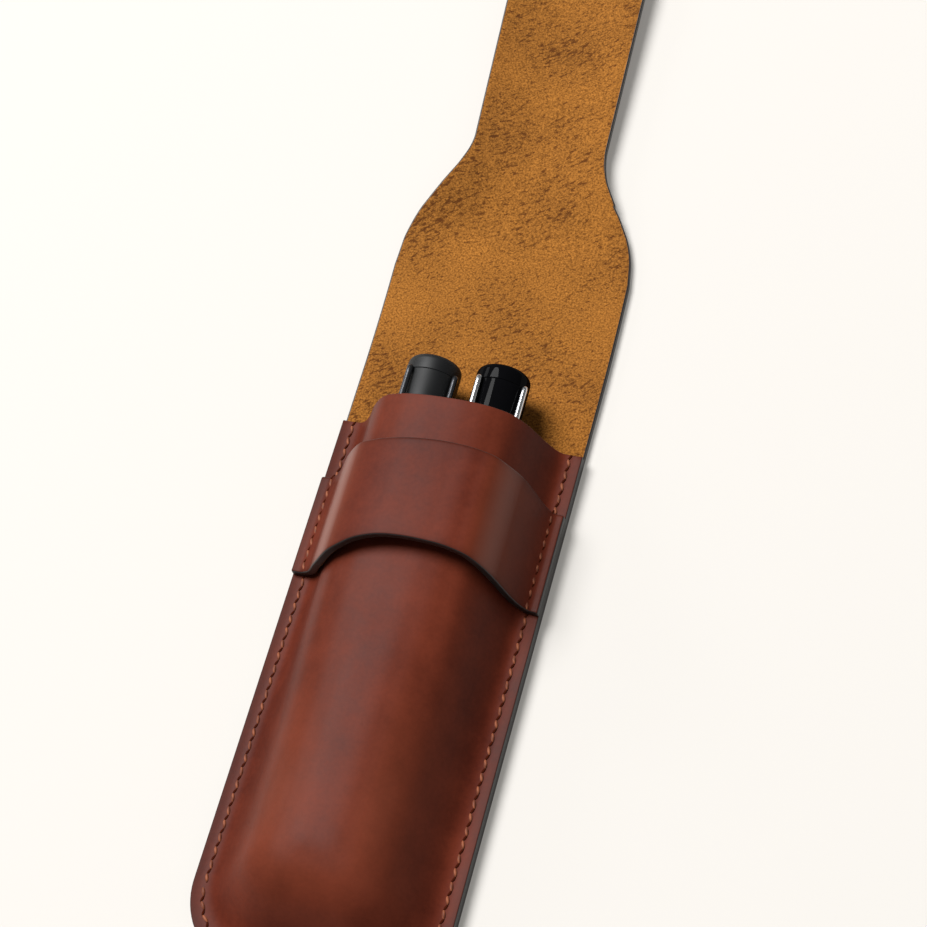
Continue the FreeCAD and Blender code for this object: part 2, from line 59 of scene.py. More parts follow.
HINGE_YAW = math.radians(1.25)
KINK_AT = 48.4
KINK_SOFTNESS = 3.0
LIFT = math.tan(math.radians(1.5))
HALF = 28.0
TONGUE_HALF = 17.0
CURL_LEFT = 3.8
CURL_RIGHT = 1.6
CURL_FROM = 53.0
CURL_RUN = 18.0
EDGE_ROUND = 0.35
CLOSE_TOGETHER = 0.45


def linear(code):
    """The linear colour of an sRGB hex value."""
    parts = [int(code[i:i + 2], 16) / 255 for i in (1, 3, 5)]
    return (*[c / 12.92 if c <= 0.04045 else ((c + 0.055) / 1.055) ** 2.4 for c in parts], 1.0)


def add(tree, kind, inputs=None, **settings):
    """Adds a node with its settings, and sets or links its inputs by name or number."""
    made = tree.nodes.new(kind)
    for name, value in settings.items():
        setattr(made, name, value)
    for name, value in (inputs or {}).items():
        if isinstance(value, bpy.types.NodeSocket):
            tree.links.new(value, made.inputs[name])
        else:
            made.inputs[name].default_value = value
    return made


def material(name):
    """A new material: its node tree, its shader and the object's own coordinates."""
    made = bpy.data.materials.new(name)
    made.use_nodes = True
    tree = made.node_tree
    shader = tree.nodes["Principled BSDF"]
    return made, tree, shader, add(tree, "ShaderNodeTexCoord").outputs["Object"]


def per_mm(size):
    """The scale that gives a pattern of that size in millimetres on coordinates in metres."""
    return 1000 / size


def waxed_leather():
    """Pull-up leather, waxed: smooth and warm, cloudy where the wax lies, paler where it is stretched and
    where a painted sheen lies on the shoulders, darker along the edges, with a fine closed grain that only
    shows in the highlights."""
    made, tree, shader, at = material("waxed_leather")
    cloud = add(tree, "ShaderNodeTexNoise", {"Vector": at, "Scale": per_mm(38), "Detail": 3.0})
    blotch = add(tree, "ShaderNodeTexNoise",
                 {"Vector": at, "Scale": per_mm(7), "Detail": 5.0, "Roughness": 0.6})
    speck = add(tree, "ShaderNodeTexNoise", {"Vector": at, "Scale": per_mm(0.9), "Detail": 2.0})
    both = add(tree, "ShaderNodeMix", {0: 0.4, 2: cloud.outputs["Fac"], 3: blotch.outputs["Fac"]})
    all_three = add(tree, "ShaderNodeMix", {0: 0.14, 2: both.outputs[0], 3: speck.outputs["Fac"]})
    tone = add(tree, "ShaderNodeMapRange",
               {"Value": all_three.outputs[0], "From Min": 0.36, "From Max": 0.64})
    hide = add(tree, "ShaderNodeMix",
               {0: tone.outputs["Result"], 6: linear("#421910"), 7: linear("#5d2719")},
               data_type="RGBA")
    # Painted sheen: the paler colour below is partly real stretch and partly a painted highlight on the
    # shoulders and at the hump's lower end.
    stretch_and_sheen = add(tree, "ShaderNodeAttribute", attribute_name="stretch_and_sheen")
    pale_stretch_and_sheen = add(tree, "ShaderNodeMix",
                 {0: stretch_and_sheen.outputs["Fac"], 6: hide.outputs[2], 7: linear("#6e3826")},
                 data_type="RGBA")
    rim = add(tree, "ShaderNodeAttribute", attribute_name="rim")
    burnt = add(tree, "ShaderNodeMix",
                {0: rim.outputs["Fac"], 6: pale_stretch_and_sheen.outputs[2], 7: linear("#220c07")},
                data_type="RGBA")
    tree.links.new(burnt.outputs[2], shader.inputs["Base Color"])
    gloss = add(tree, "ShaderNodeMapRange",
                {"Value": blotch.outputs["Fac"], "From Min": 0.3, "From Max": 0.7,
                 "To Min": 0.4, "To Max": 0.46})
    tree.links.new(gloss.outputs["Result"], shader.inputs["Roughness"])
    burnish = add(tree, "ShaderNodeMapRange",
                  {"Value": stretch_and_sheen.outputs["Fac"], "From Min": 0.3, "From Max": 0.6,
                   "To Min": 0.05, "To Max": 0.32})
    tree.links.new(burnish.outputs["Result"], shader.inputs["Specular IOR Level"])
    grain = add(tree, "ShaderNodeTexVoronoi", {"Vector": at, "Scale": per_mm(0.6)},
                feature="DISTANCE_TO_EDGE")
    crease = add(tree, "ShaderNodeMapRange", {"Value": grain.outputs["Distance"], "From Max": 0.12})
    relief = add(tree, "ShaderNodeMix", {0: 0.55, 2: crease.outputs["Result"], 3: speck.outputs["Fac"]})
    bump = add(tree, "ShaderNodeBump",
               {"Height": relief.outputs[0], "Strength": 0.16, "Distance": 0.05 * MM})
    tree.links.new(bump.outputs["Normal"], shader.inputs["Normal"])
    return made


def flesh_side():
    """The brushed flesh side of the hide: dry tan fibre with a short nap, and dark loose fibres in
    drifts, drawn a little coarser than real so that they show."""
    made, tree, shader, at = material("leather_flesh_side")
    nap = add(tree, "ShaderNodeTexNoise",
              {"Vector": at, "Scale": per_mm(0.45), "Detail": 3.0, "Roughness": 0.7})
    cloud = add(tree, "ShaderNodeTexNoise", {"Vector": at, "Scale": per_mm(22), "Detail": 3.0})
    tone = add(tree, "ShaderNodeMapRange",
               {"Value": nap.outputs["Fac"], "From Min": 0.3, "From Max": 0.7})
    fibre = add(tree, "ShaderNodeMix",
                {0: tone.outputs["Result"], 6: linear("#4a2804"), 7: linear("#a0682a")},
                data_type="RGBA")
    drift = add(tree, "ShaderNodeMapRange",
                {"Value": cloud.outputs["Fac"], "From Min": 0.38, "From Max": 0.66,
                 "To Min": 0.0, "To Max": 0.1})
    lay = add(tree, "ShaderNodeMapping",
              {"Vector": at, "Rotation": (0, 0, math.radians(36)), "Scale": (1.9 * MM, 0.8 * MM, 1.9 * MM)},
              vector_type="TEXTURE")
    hair = add(tree, "ShaderNodeTexNoise",
               {"Vector": lay.outputs["Vector"], "Scale": 1.0, "Detail": 4.0, "Roughness": 0.7})
    raised = add(tree, "ShaderNodeMath", {0: hair.outputs["Fac"], 1: drift.outputs["Result"]},
                 operation="ADD")
    fleck = add(tree, "ShaderNodeMapRange",
                {"Value": raised.outputs[0], "From Min": 0.6, "From Max": 0.68, "To Max": 0.9})
    flecked = add(tree, "ShaderNodeMix",
                  {0: fleck.outputs["Result"], 6: fibre.outputs[2], 7: linear("#4a2506")},
                  data_type="RGBA")
    shade = add(tree, "ShaderNodeMapRange",
                {"Value": cloud.outputs["Fac"], "From Min": 0.35, "From Max": 0.65,
                 "To Min": 1.08, "To Max": 0.86})
    worn = add(tree, "ShaderNodeHueSaturation",
               {"Value": shade.outputs["Result"], "Color": flecked.outputs[2]})
    tree.links.new(worn.outputs["Color"], shader.inputs["Base Color"])
    shader.inputs["Roughness"].default_value = 0.92
    shader.inputs["Specular IOR Level"].default_value = 0.1
    shader.inputs["Sheen Weight"].default_value = 0.05
    relief = add(tree, "ShaderNodeMath", {0: nap.outputs["Fac"], 1: fleck.outputs["Result"]},
                 operation="SUBTRACT")
    bump = add(tree, "ShaderNodeBump",
               {"Height": relief.outputs[0], "Strength": 0.5, "Distance": 0.15 * MM})
    tree.links.new(bump.outputs["Normal"], shader.inputs["Normal"])
    return made


def edge_paint():
    """Black edge paint, laid on in coats over the sanded edge: satin, the hide's layers just showing."""
    made, tree, shader, at = material("edge_paint")
    layers = add(tree, "ShaderNodeMapping", {"Vector": at, "Scale": (per_mm(6), per_mm(6), per_mm(0.5))})
    streak = add(tree, "ShaderNodeTexNoise",
                 {"Vector": layers.outputs["Vector"], "Scale": 1.0, "Detail": 3.0})
    coat = add(tree, "ShaderNodeMix",
               {0: streak.outputs["Fac"], 6: linear("#080707"), 7: linear("#1c1817")},
               data_type="RGBA")
    tree.links.new(coat.outputs[2], shader.inputs["Base Color"])
    shader.inputs["Roughness"].default_value = 0.48
    bump = add(tree, "ShaderNodeBump",
               {"Height": streak.outputs["Fac"], "Strength": 0.3, "Distance": 0.08 * MM})
    tree.links.new(bump.outputs["Normal"], shader.inputs["Normal"])
    return made


LEATHER_FACES = [waxed_leather(), flesh_side(), edge_paint()]
GRAIN, FLESH, PAINT = range(3)


def piece(name, bm, materials, body, nodes=()):
    """Makes a finished mesh an object that rides on a body and stands for its solids."""
    mesh = bpy.data.meshes.new(name)
    bm.to_mesh(mesh)
    bm.free()
    for each in materials:
        mesh.materials.append(each)
    for polygon in mesh.polygons:
        polygon.use_smooth = True
    made = bpy.data.objects.new(name, mesh)
    bpy.context.scene.collection.objects.link(made)
    if body:
        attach(made, body)
    if nodes:
        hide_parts(*nodes)
    return made


def flap_place(point):
    """Where a point of the straight cut piece lies: turned gently aside at the fold, lifted past the
    kink, and curled up along the tongue's long edges."""
    start, end = FOLD_AT - FOLD_STEP / 2, FOLD_END + FOLD_STEP / 2
    total = 2 * HINGE_YAW
    s = point.y / MM
    share = min(max((s - start) / (end - start), 0), 1)
    radius = (end - start) / total
    turn = total * share
    past = max(s - end, 0)
    middle_x = -radius * (1 - math.cos(turn)) - past * math.sin(total)
    middle_y = min(s, start) + radius * math.sin(turn) + past * math.cos(total)
    x = point.x / MM
    beyond = s - KINK_AT
    lift = LIFT * (beyond + math.hypot(beyond, KINK_SOFTNESS)) / 2
    curl = CURL_LEFT if x < 0 else CURL_RIGHT
    begun = min(max((s - CURL_FROM) / CURL_RUN, 0), 1)
    outward = min(abs(x), TONGUE_HALF) / TONGUE_HALF
    lift += curl * begun * begun * (3 - 2 * begun) * outward ** 2
    return Vector((middle_x + x * math.cos(turn), middle_y + x * math.sin(turn), point.z / MM + lift)) * MM


def cut(bm, at, normal, keep_below=False, keep_above=False):
    """Cuts a mesh along a plane, and drops one side of it if only the other is kept."""
    everything = bm.verts[:] + bm.edges[:] + bm.faces[:]
    return bmesh.ops.bisect_plane(bm, geom=everything, plane_co=at, plane_no=normal, dist=1e-7,
                                  clear_outer=keep_below, clear_inner=keep_above)["geom_cut"]


def cut_piece():
    """The whole cut piece of leather, with thickness, softened edges and a grid of cuts to bend along."""
    bm = bmesh.new()
    right = [(HALF, -POCKET_LENGTH, CORNER), (HALF, FOLD_END, 0), (26.9, 53.4, 4.3), (16.2, 73.8, 5.7),
             (17.3, 138, 10.8)]
    left = [(-16.4, 138, 10.8), (-15.6, 74.1, 5.6), (-27.2, 56.0, 5.0), (-HALF, FOLD_END, 0),
            (-HALF, -POCKET_LENGTH, CORNER)]
    face = bm.faces.new([bm.verts.new((x * MM, y * MM, 0)) for x, y, _ in right + left])
    for vertex, (_, _, cut_back) in zip(list(face.verts), right + left):
        if cut_back:
            bmesh.ops.bevel(bm, geom=[vertex], offset=cut_back * MM, offset_type="OFFSET",
                            affect="VERTICES", segments=16, profile=0.5, material=-1)
    for x in np.arange(-24.5, 25, 3.5):
        cut(bm, (x * MM, 0, 0), (1, 0, 0))
    folds = np.arange(FOLD_AT - 2 * FOLD_STEP, FOLD_END + 2 * FOLD_STEP, FOLD_STEP / 6)
    for y in [*np.arange(-121, folds[0], 4), *folds, *np.arange(folds[-1] + 2, 137, 2.5)]:
        cut(bm, (0, y * MM, 0), (0, 1, 0))
    bmesh.ops.remove_doubles(bm, verts=bm.verts[:], dist=CLOSE_TOGETHER * MM)
    for each in bm.faces:
        if each.normal.z > 0:
            each.normal_flip()
    raised = bmesh.ops.extrude_face_region(bm, geom=bm.faces[:], use_keep_orig=True)["geom"]
    flesh_verts = [each for each in raised if isinstance(each, bmesh.types.BMVert)]
    bmesh.ops.translate(bm, vec=(0, 0, LEATHER * MM), verts=flesh_verts)
    bmesh.ops.recalc_face_normals(bm, faces=bm.faces[:])
    for each in bm.faces:
        each.material_index = FLESH if each.normal.z > 0.5 else GRAIN if each.normal.z < -0.5 else PAINT
    rims = [e for e in bm.edges if len(e.link_faces) == 2 and e.calc_face_angle() > 1]
    bmesh.ops.bevel(bm, geom=rims, offset=EDGE_ROUND * MM, offset_type="OFFSET", affect="EDGES", segments=3,
                    profile=0.5, material=PAINT)
    for vertex in bm.verts:
        vertex.co = flap_place(vertex.co)
    return bm


ALONG_FLAP = Vector((-math.sin(HINGE_YAW), math.cos(HINGE_YAW), 0))


def crosswise(fold):
    """A point on the line across the flap that many fold steps after the first fold."""
    return ALONG_FLAP * fold * FOLD_STEP * MM + Vector((0, FOLD_AT * MM, 0))


whole = cut_piece()
slices = [("back_leather", None, -0.5, "case", ["back_panel"])]
slices += [(f"flap_fold_{k + 1}", k - 0.5, k + 0.5, None, [f"flap_bend_{k + 1}"]) for k in range(FOLDS - 1)]
slices += [(f"flap_fold_{FOLDS}", FOLDS - 1.5, FOLDS - 0.5, None, []),
           ("flap_tongue_leather", FOLDS - 0.5, None, f"flap_{FOLDS}", ["flap_tongue"])]
for index, (name, first, last, body, nodes) in enumerate(slices):
    part = whole.copy()
    for fold, below in ((first, False), (last, True)):
        if fold is None:
            continue
        section = cut(part, crosswise(fold), ALONG_FLAP, below, not below)
        edges = [each for each in section if isinstance(each, bmesh.types.BMEdge)]
        bmesh.ops.edgeloop_fill(part, edges=edges, mat_nr=PAINT)
        for edge in edges:
            edge.smooth = False
    made = piece(name, part, LEATHER_FACES, body, nodes)
    if body is None:
        fold = index - 1
        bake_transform(made)
whole.free()


# Pocket front: a second piece of the same leather, moulded wet over the pens to a hump with soft
# shoulders, its flange sewn down round three sides and its mouth left open.
FLANGE_TOP = 2 * LEATHER
CREST_FALL = math.tan(math.radians(1.5))
CREST = 22.17
HUMP_END = -97.0
LOWER_FROM = 38.0
LOWER_RUN = 45.0
SHOULDER_AT = 17.0
SHOULDER_WIDTH = 7.0
END_STRETCH_AND_SHEEN_AT = -92.0
END_STRETCH_AND_SHEEN_WIDTH = 22.0
RIM_FADE = 1.1
HUMP_ACROSS = [0, 2.7, 5, 7.5, 10, 13, 17, 22, 28, 34]
HUMP_AT_MOUTH = [3.6, 3.46, 4.1, 8.0, 13.7, 18.2, 20.65, 21.85, 22.17, 21.85]
HUMP_LOWER = [3.6, 3.46, 4.3, 7.15, 11.15, 15.85, 19.65, 21.6, 22.17, 21.6]


def smooth_line(stations, levels, at):
    """A smooth line through points, read at one place along it."""
    x = np.asarray(stations, float)
    z = np.asarray(levels, float)
    rates = np.diff(z) / np.diff(x)
    slopes = np.concatenate(([rates[0]], (rates[1:] * np.diff(x)[:-1] + rates[:-1] * np.diff(x)[1:])
                             / (x[2:] - x[:-2]), [rates[-1]]))
    i = int(np.clip(np.searchsorted(x, at) - 1, 0, len(x) - 2))
    h = x[i + 1] - x[i]
    t = (at - x[i]) / h
    return float((1 + 2 * t) * (1 - t) ** 2 * z[i] + t * (1 - t) ** 2 * h * slopes[i]
                 + t * t * (3 - 2 * t) * z[i + 1] + t * t * (t - 1) * h * slopes[i + 1])


def outline(run):
    """A point on the pocket's sewn outline, by its run in millimetres from the mouth on the left."""
    side = POCKET_LENGTH - CORNER
    arc = CORNER * math.pi / 2
    flat = 2 * (HALF - CORNER)
    if run < side:
        return -HALF, -run
    if run < side + arc:
        turn = math.pi + (run - side) / CORNER
        return -HALF + CORNER + CORNER * math.cos(turn), -side + CORNER * math.sin(turn)
    if run <= side + arc + flat:
        return -flat / 2 + run - side - arc, -POCKET_LENGTH
    if run < side + 2 * arc + flat:
        turn = 1.5 * math.pi + (run - side - arc - flat) / CORNER
        return HALF - CORNER + CORNER * math.cos(turn), -side + CORNER * math.sin(turn)
    return HALF, run - 2 * side - 2 * arc - flat


OUTLINE = 2 * (POCKET_LENGTH - CORNER) + CORNER * math.pi + 2 * (HALF - CORNER)


def moulded_front():
    """The hump's outer face: a grid from the sewn outline in to the crest, with where it is stretched and
    where a sheen is painted.
    """
    bm = bmesh.new()
    bmesh.ops.create_grid(bm, x_segments=232, y_segments=44, size=1)
    stretch_and_sheen = bm.verts.layers.float.new("stretch_and_sheen")
    rim = bm.verts.layers.float.new("rim")
    for vertex in bm.verts:
        run = (vertex.co.x + 1) / 2 * OUTLINE
        inward = ((vertex.co.y + 1) / 2) ** 1.25
        edge_x, edge_y = outline(run)
        ridge_y = max(edge_y, HUMP_END)
        y = edge_y + (ridge_y - edge_y) * inward
        crest = (CREST + CREST_FALL * y - FLANGE_TOP) / (CREST - FLANGE_TOP)
        lower = min(max((-y - LOWER_FROM) / LOWER_RUN, 0), 1)
        lower = lower * lower * (3 - 2 * lower)
        across = HALF * inward
        level = (1 - lower) * smooth_line(HUMP_ACROSS, HUMP_AT_MOUTH, across)
        level += lower * smooth_line(HUMP_ACROSS, HUMP_LOWER, across)
        vertex.co = Vector((edge_x * (1 - inward), y, FLANGE_TOP + (level - FLANGE_TOP) * crest)) * MM
        # Painted sheen: the shoulders and the lower end are marked paler, partly for stretch and partly as
        # a painted highlight.
        near_end = math.exp(-((y - END_STRETCH_AND_SHEEN_AT) / END_STRETCH_AND_SHEEN_WIDTH) ** 2)
        near_shoulder = math.exp(-((across - SHOULDER_AT) / SHOULDER_WIDTH) ** 2)
        vertex[stretch_and_sheen] = (0.1 + 0.25 * near_end) * near_shoulder
        vertex[rim] = 0.55 * math.exp(-across / RIM_FADE)
    bmesh.ops.remove_doubles(bm, verts=bm.verts[:], dist=1e-6)
    bmesh.ops.dissolve_degenerate(bm, dist=1e-7, edges=bm.edges[:])
    bmesh.ops.recalc_face_normals(bm, faces=bm.faces[:])
    if sum(each.normal.z for each in bm.faces) < 0:
        bmesh.ops.reverse_faces(bm, faces=bm.faces[:])
    return bm


def leather_thickness(made):
    """Gives a moulded sheet its thickness below, its flesh side and its painted, softened edges."""
    wall = made.modifiers.new("thickness", "SOLIDIFY")
    wall.thickness = LEATHER * MM
    wall.offset = -1
    wall.use_even_offset = True
    wall.material_offset = FLESH
    wall.material_offset_rim = PAINT
    soft = made.modifiers.new("edges", "BEVEL")
    soft.width = EDGE_ROUND * MM
    soft.segments = 3
    soft.limit_method = "ANGLE"
    soft.angle_limit = math.radians(50)
    made.modifiers.new("shading", "WEIGHTED_NORMAL")


pocket = piece("pocket_leather", moulded_front(), LEATHER_FACES, "case",
               ["pocket_front"])
leather_thickness(pocket)


# Band: a strip of the same leather sewn into both side seams and arched over the pocket, standing off
# it by the tongue's thickness. Its two long edges bow towards the mouth, and its left side hangs lower.
BAND_TOP = -15.4
BAND_HEIGHT = 23.6
SEAM_X = 25.3
BAND_BEND_AT = 18.0
BAND_BEND_WIDTH = 3.0
BAND_RIM_FADE = 0.8
BAND_ACROSS = [-6, 0, 6, 12, 16, 20, 24, 25.5, 28]
BAND_RIGHT = [25.8, 26, 25.8, 25.0, 23.4, 17.8, 7.6, 5.65, 5.4]
BAND_LEFT = [25.6, 26, 25.6, 23.7, 20.9, 14.8, 6.8, 5.6, 5.4]
UPPER_EDGE = [(-28, -15.5), (-25.5, -15.2), (-20, -13.7), (-12, -13.2), (6, -12.15), (12, -12.5),
              (17.5, -13.25), (22, -13.85), (25, -15.1), (28, -15.5)]
LOWER_EDGE = [(-28, -39.0), (-24.5, -39.1), (-19, -40.4), (-15, -39.15), (-10, -37.1), (6, -35.4),
              (12, -35.9), (17.5, -37.0), (22, -38.15), (28, -38.9)]


def arched_band():
    """The band's outer face: a grid spread evenly along its arch, with where it is stretched and where a
    sheen is painted.
    """
    bm = bmesh.new()
    bmesh.ops.create_grid(bm, x_segments=120, y_segments=30, size=1)
    stretch_and_sheen = bm.verts.layers.float.new("stretch_and_sheen")
    rim = bm.verts.layers.float.new("rim")
    across = np.linspace(0, HALF, 400)
    sides = {}
    for sign, levels in ((1, BAND_RIGHT), (-1, BAND_LEFT)):
        level = np.array([smooth_line(BAND_ACROSS, levels, x) for x in across])
        run = np.concatenate(([0], np.cumsum(np.hypot(np.diff(across), np.diff(level)))))
        sides[sign] = run, level
    for vertex in bm.verts:
        sign = 1 if vertex.co.x > 0 else -1
        run, level = sides[sign]
        along = abs(vertex.co.x) * run[-1]
        x = sign * float(np.interp(along, run, across))
        z = float(np.interp(along, run, level))
        upper = smooth_line(*zip(*UPPER_EDGE), x)
        lower = smooth_line(*zip(*LOWER_EDGE), x)
        down = (upper - lower) * (1 - vertex.co.y) / 2
        vertex.co = Vector((x, upper - down, z)) * MM
        # Painted sheen: the band's shoulders are marked paler, partly for stretch and partly as a painted
        # highlight.
        vertex[stretch_and_sheen] = 0.6 * math.exp(-((abs(x) - BAND_BEND_AT) / BAND_BEND_WIDTH) ** 2)
        nearest = min(down, upper - lower - down, HALF - abs(x))
        vertex[rim] = 0.5 * math.exp(-nearest / BAND_RIM_FADE)
    bmesh.ops.recalc_face_normals(bm, faces=bm.faces[:])
    if sum(each.normal.z for each in bm.faces) < 0:
        bmesh.ops.reverse_faces(bm, faces=bm.faces[:])
    return bm


band = piece("band_leather", arched_band(), LEATHER_FACES, "case", ["tuck_band"])
leather_thickness(band)


# Thread: waxed polyester, saddle stitched through all the layers 2.95 mm apart, each stitch lying a
# little slantwise between two awl holes. The back's stitches lie in a groove.
PITCH = BAND_HEIGHT / 8
FIRST_STITCH = BAND_TOP + 4.5 * PITCH
SIDE_STITCHES = 37
BOTTOM_STITCHES = 22
STITCH = (1.05, 0.38, 0.34)
STITCH_LEVEL = {"front": 3.5, "band": 5.6, "back": 0.5}
HOLE_SHADE = (0.8, 0.3, 0.18)
HOLE_SHADE_LEVEL = {"front": 3.5, "band": 5.62, "back": 0.58}
SLANT = math.radians(16)
SEAM_RADIUS = CORNER - 2.7


def waxed_thread():
    """Waxed polyester thread: two plies twisted together, orange-brown, with a dull shine."""
    made, tree, shader, at = material("waxed_thread")
    ply = add(tree, "ShaderNodeTexWave", {"Vector": at, "Scale": per_mm(3.2), "Distortion": 2.0},
              bands_direction="DIAGONAL")
    colour = add(tree, "ShaderNodeMix",
                 {0: ply.outputs["Fac"], 6: linear("#5a2b17"), 7: linear("#7f462b")},
                 data_type="RGBA")
    tree.links.new(colour.outputs[2], shader.inputs["Base Color"])
    shader.inputs["Roughness"].default_value = 0.55
    shader.inputs["Sheen Weight"].default_value = 0.05
    shader.inputs["Specular IOR Level"].default_value = 0.2
    bump = add(tree, "ShaderNodeBump",
               {"Height": ply.outputs["Fac"], "Strength": 0.5, "Distance": 0.1 * MM})
    tree.links.new(bump.outputs["Normal"], shader.inputs["Normal"])
    return made


def awl_hole_painted_shade():
    """Painted shade of a pricked hole: a dark patch, mottled by noise."""
    made, tree, shader, at = material("awl_hole_painted_shade")
    fibre = add(tree, "ShaderNodeTexNoise", {"Vector": at, "Scale": per_mm(0.4)})
    colour = add(tree, "ShaderNodeMix",
                 {0: fibre.outputs["Fac"], 6: linear("#260d06"), 7: linear("#43190d")},
                 data_type="RGBA")
    tree.links.new(colour.outputs[2], shader.inputs["Base Color"])
    shader.inputs["Roughness"].default_value = 0.9
    shader.inputs["Specular IOR Level"].default_value = 0.0
    return made


def seam(run):
    """The stitches of one run of the seam, as (x, y, angle) in millimetres and radians."""
    if run != "bottom":
        side = -SEAM_X if run == "left" else SEAM_X
        return [(side, FIRST_STITCH - k * PITCH, math.pi / 2) for k in range(SIDE_STITCHES)]
    arc = SEAM_RADIUS * math.pi / 2
    flat = 2 * (SEAM_X - SEAM_RADIUS)
    low = CORNER - POCKET_LENGTH
    lead = FIRST_STITCH - (SIDE_STITCHES - 1) * PITCH - low
    step = (2 * (arc + lead) + flat) / (BOTTOM_STITCHES + 1)
    places = []
    for k in range(BOTTOM_STITCHES):
        gone = (k + 1) * step - lead
        if arc <= gone <= arc + flat:
            places.append((gone - arc - flat / 2, low - SEAM_RADIUS, 0.0))
            continue
        if gone < arc:
            centre = SEAM_RADIUS - SEAM_X
            turn = math.pi + gone / SEAM_RADIUS
        else:
            centre = SEAM_X - SEAM_RADIUS
            turn = 1.5 * math.pi + (gone - arc - flat) / SEAM_RADIUS
        x = centre + SEAM_RADIUS * math.cos(turn)
        places.append((x, low + SEAM_RADIUS * math.sin(turn), turn + math.pi / 2))
    return places


THREAD_FACES = [waxed_thread(), awl_hole_painted_shade()]


def stitches(face, run):
    """The stitches of one run on one face of the sleeve, and a dark patch of painted shade for the awl hole
    after each of them.
    """
    bm = bmesh.new()
    slant = SLANT if face == "front" else -SLANT
    for x, y, angle in seam(run):
        on_band = face == "front" and BAND_TOP - BAND_HEIGHT < y < BAND_TOP
        lie = Matrix.Translation(Vector((x, y, STITCH_LEVEL["band" if on_band else face])) * MM)
        lie = lie @ Matrix.Rotation(angle + slant, 4, "Z") @ Matrix.Diagonal((*STITCH, 1))
        bmesh.ops.create_uvsphere(bm, u_segments=10, v_segments=6, radius=MM, matrix=lie)
    thread = set(bm.faces)
    # Painted shade: each awl hole is a flat dark patch half a stitch ahead, standing for the shade inside
    # the hole.
    for x, y, angle in seam(run):
        on_band = face == "front" and BAND_TOP - BAND_HEIGHT < y < BAND_TOP
        ahead = Vector((math.cos(angle), math.sin(angle), 0)) * PITCH / 2
        lie = Matrix.Translation((Vector((x, y, HOLE_SHADE_LEVEL["band" if on_band else face])) + ahead) * MM)
        lie = lie @ Matrix.Rotation(angle - 1.5 * slant, 4, "Z") @ Matrix.Diagonal((*HOLE_SHADE, 1))
        bmesh.ops.create_uvsphere(bm, u_segments=8, v_segments=4, radius=MM, matrix=lie)
    for each in bm.faces:
        each.material_index = 0 if each in thread else 1
    return bm


for face in ("front", "back"):
    for run in ("left", "right", "bottom"):
        piece(f"stitches_{face}_{run}", stitches(face, run), THREAD_FACES, "case",
              [f"thread_{face}_{run}"])


# Caps: each pen's cap is a moulded resin tube closed by a crown with rounded shoulders, which leaves a
# fine joint line below it. The left pen is matte charcoal and the right one polished black.
PEN_X = 8.0
PEN_RISE = math.radians(1.5)
PEN_ROLL = math.radians(15)
PEN_END = (-113.3, 7.5)
LIP_AT = 66.0
ROOF_AT = 117.7
CROWN_AT = 122.7
PEN_LENGTH = 126.7
CAP_RADIUS = 6.1
CAP_BORE = 5.0
JOINT_AT = CROWN_AT - 0.25
JOINT_RADIUS = 5.6
SOCKET = 3.4
SPIGOT = 3.35
DISH_AT = PEN_LENGTH - 0.3


def moulded_resin(name, low, high, shine_low, shine_high, coat):
    """Moulded pen resin, its colour even and its gloss set by the mould's finish."""
    made, tree, shader, at = material(name)
    haze = add(tree, "ShaderNodeTexNoise", {"Vector": at, "Scale": per_mm(4), "Detail": 4.0})
    colour = add(tree, "ShaderNodeMix", {0: haze.outputs["Fac"], 6: linear(low), 7: linear(high)},
                 data_type="RGBA")
    tree.links.new(colour.outputs[2], shader.inputs["Base Color"])
    gloss = add(tree, "ShaderNodeMapRange",
                {"Value": haze.outputs["Fac"], "To Min": shine_low, "To Max": shine_high})
    tree.links.new(gloss.outputs["Result"], shader.inputs["Roughness"])
    shader.inputs["IOR"].default_value = 1.53
    shader.inputs["Specular IOR Level"].default_value = 0.2 * (1 - coat)
    shader.inputs["Coat Weight"].default_value = 0.06 * coat
    shader.inputs["Coat Roughness"].default_value = 0.04
    grit = add(tree, "ShaderNodeTexNoise", {"Vector": at, "Scale": per_mm(0.25), "Detail": 2.0})
    bump = add(tree, "ShaderNodeBump",
               {"Height": grit.outputs["Fac"], "Strength": 0.12 * (1 - coat) + 0.01, "Distance": 0.03 * MM})
    tree.links.new(bump.outputs["Normal"], shader.inputs["Normal"])
    return made


RESIN = {"left": moulded_resin("matte_resin", "#0c0d0e", "#121314", 0.46, 0.56, 0.0),
         "right": moulded_resin("polished_resin", "#050506", "#08080a", 0.1, 0.16, 1.0)}


def pen_place(side):
    """Where a pen built along the Y axis lies in the pocket, raised to the crest's angle and rolled."""
    sign = -1 if side == "left" else 1
    move = Matrix.Translation(Vector((sign * PEN_X, *PEN_END)) * MM)
    return move @ Matrix.Rotation(PEN_RISE, 4, "X") @ Matrix.Rotation(PEN_ROLL, 4, "Y")


def turned(profile, side, rounded=()):
    """A turned solid from a closed (radius, height) profile round the pen's axis."""
    bm = bmesh.new()
    ring = [bm.verts.new((radius * MM, height * MM, 0)) for radius, height in profile]
    for first, second in zip(ring, ring[1:] + ring[:1]):
        bm.edges.new((first, second))
    for index, offset in rounded:
        bmesh.ops.bevel(bm, geom=[ring[index]], offset=offset * MM, offset_type="OFFSET", affect="VERTICES",
                        segments=8, profile=0.5, material=-1)
    bmesh.ops.spin(bm, geom=bm.verts[:] + bm.edges[:], cent=(0, 0, 0), axis=(0, 1, 0), angle=2 * math.pi,
                   steps=72, use_merge=True)
    bmesh.ops.remove_doubles(bm, verts=bm.verts[:], dist=1e-7)
    bmesh.ops.dissolve_degenerate(bm, dist=1e-8, edges=bm.edges[:])
    bmesh.ops.recalc_face_normals(bm, faces=bm.faces[:])
    bmesh.ops.transform(bm, matrix=pen_place(side), verts=bm.verts[:])
    for edge in bm.edges:
        if len(edge.link_faces) == 2 and edge.calc_face_angle() > math.radians(35):
            edge.smooth = False
    return bm


